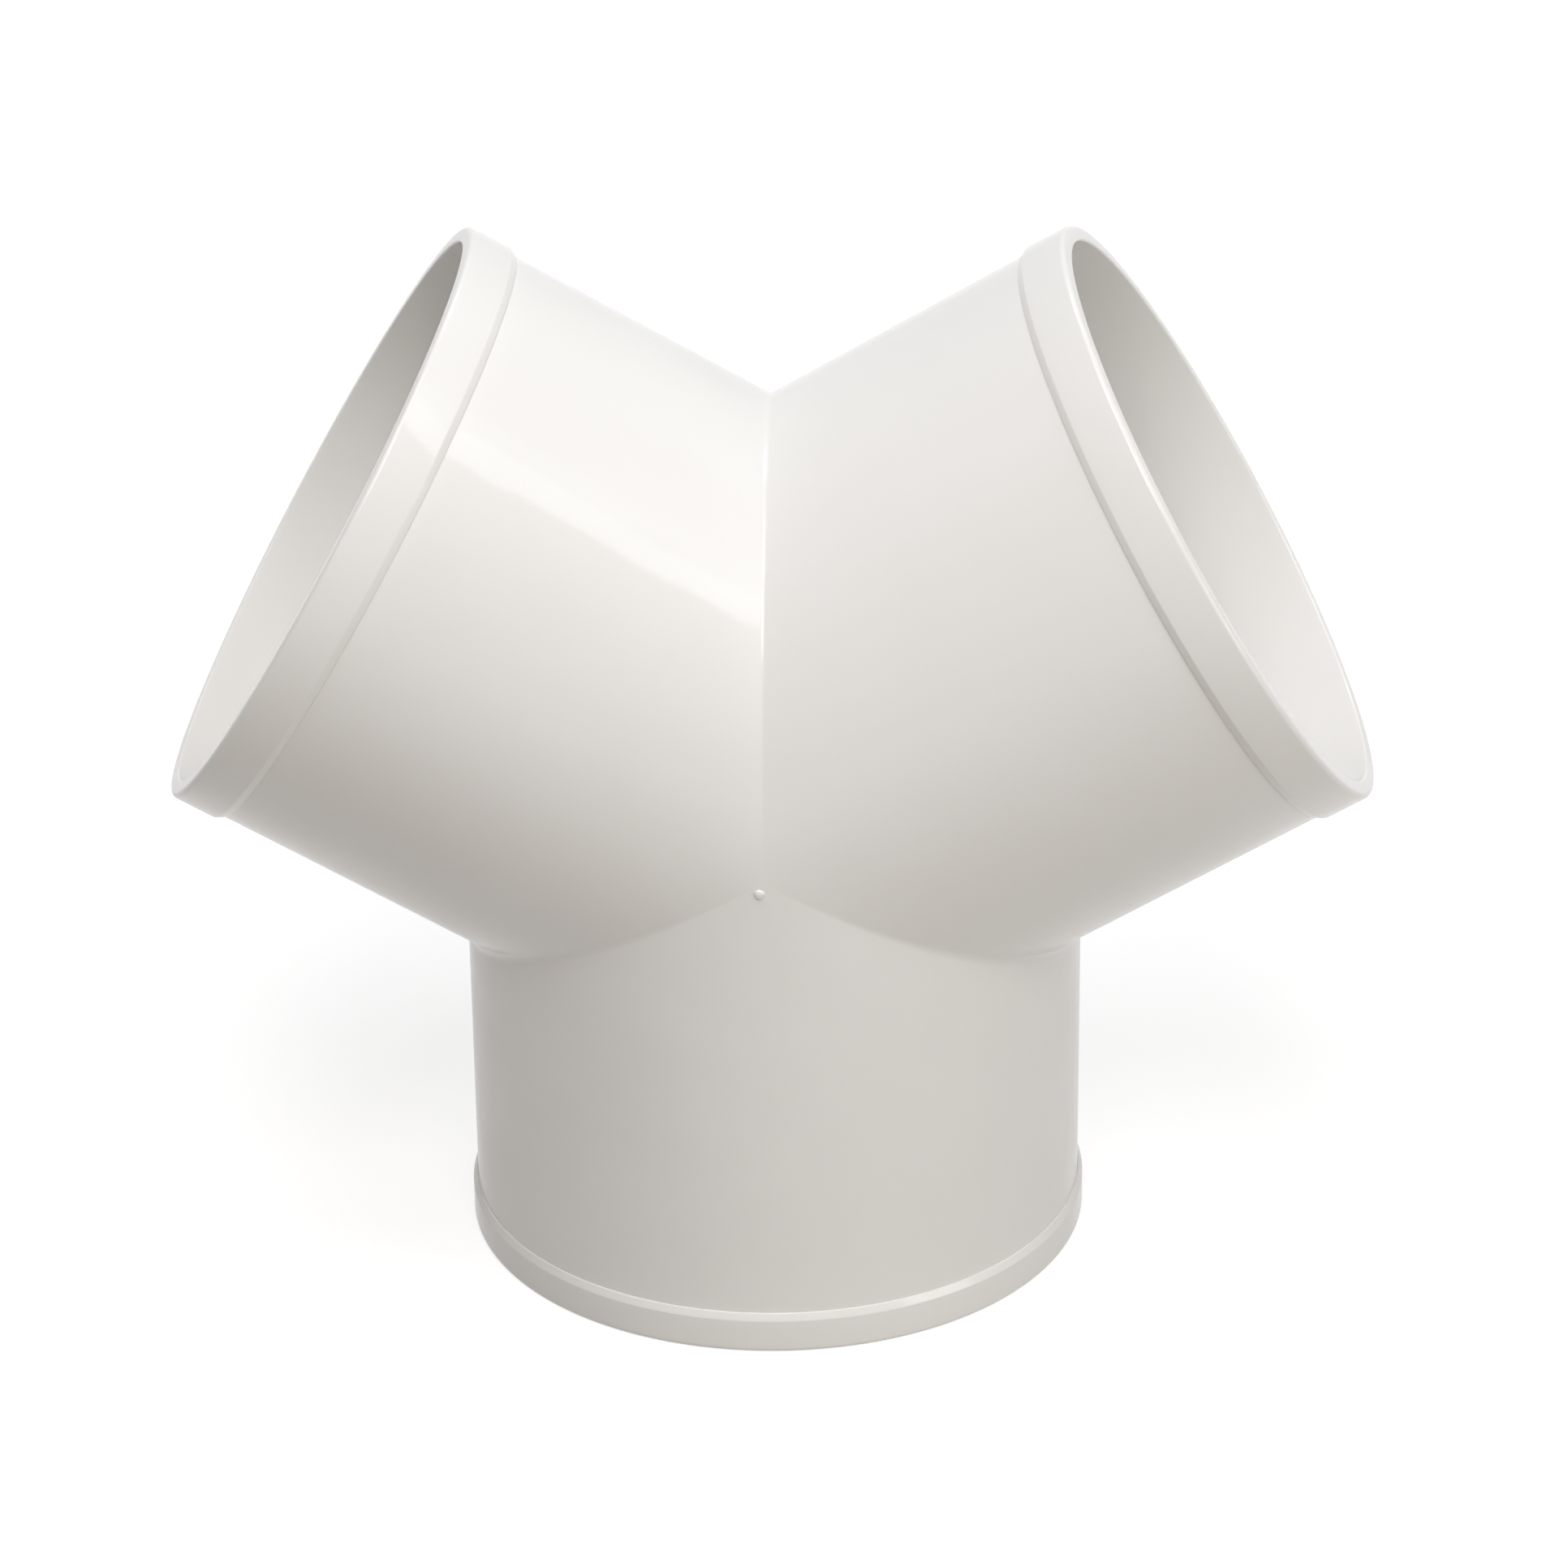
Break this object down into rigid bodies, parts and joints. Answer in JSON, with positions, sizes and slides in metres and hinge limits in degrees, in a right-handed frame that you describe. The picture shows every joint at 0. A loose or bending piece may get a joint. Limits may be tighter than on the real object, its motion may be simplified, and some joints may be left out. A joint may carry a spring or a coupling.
{
  "type": "wye pipe fitting",
  "caption": "Thin-walled equal wye with its run and branch sockets spread evenly in one plane, each with a raised collar and a stop for the pipe.",
  "frame": {"origin": "the point where the three leg axes meet, which is also the centroid", "axes": "-Z out of the run socket, on which the fitting stands; +X towards the right branch and -X towards the left one, both in the XZ plane and rising 30 degrees above X; +Y across the fitting, so the gate stub is on the -Y side"},
  "size_m": [0.2228, 0.1172, 0.1934],
  "materials": {
    "white_plastic": "smooth moulded off-white plastic with a soft gloss"
  },
  "bodies": {
    "root": {"wye_body": "white_plastic"}
  },
  "joints": []
}
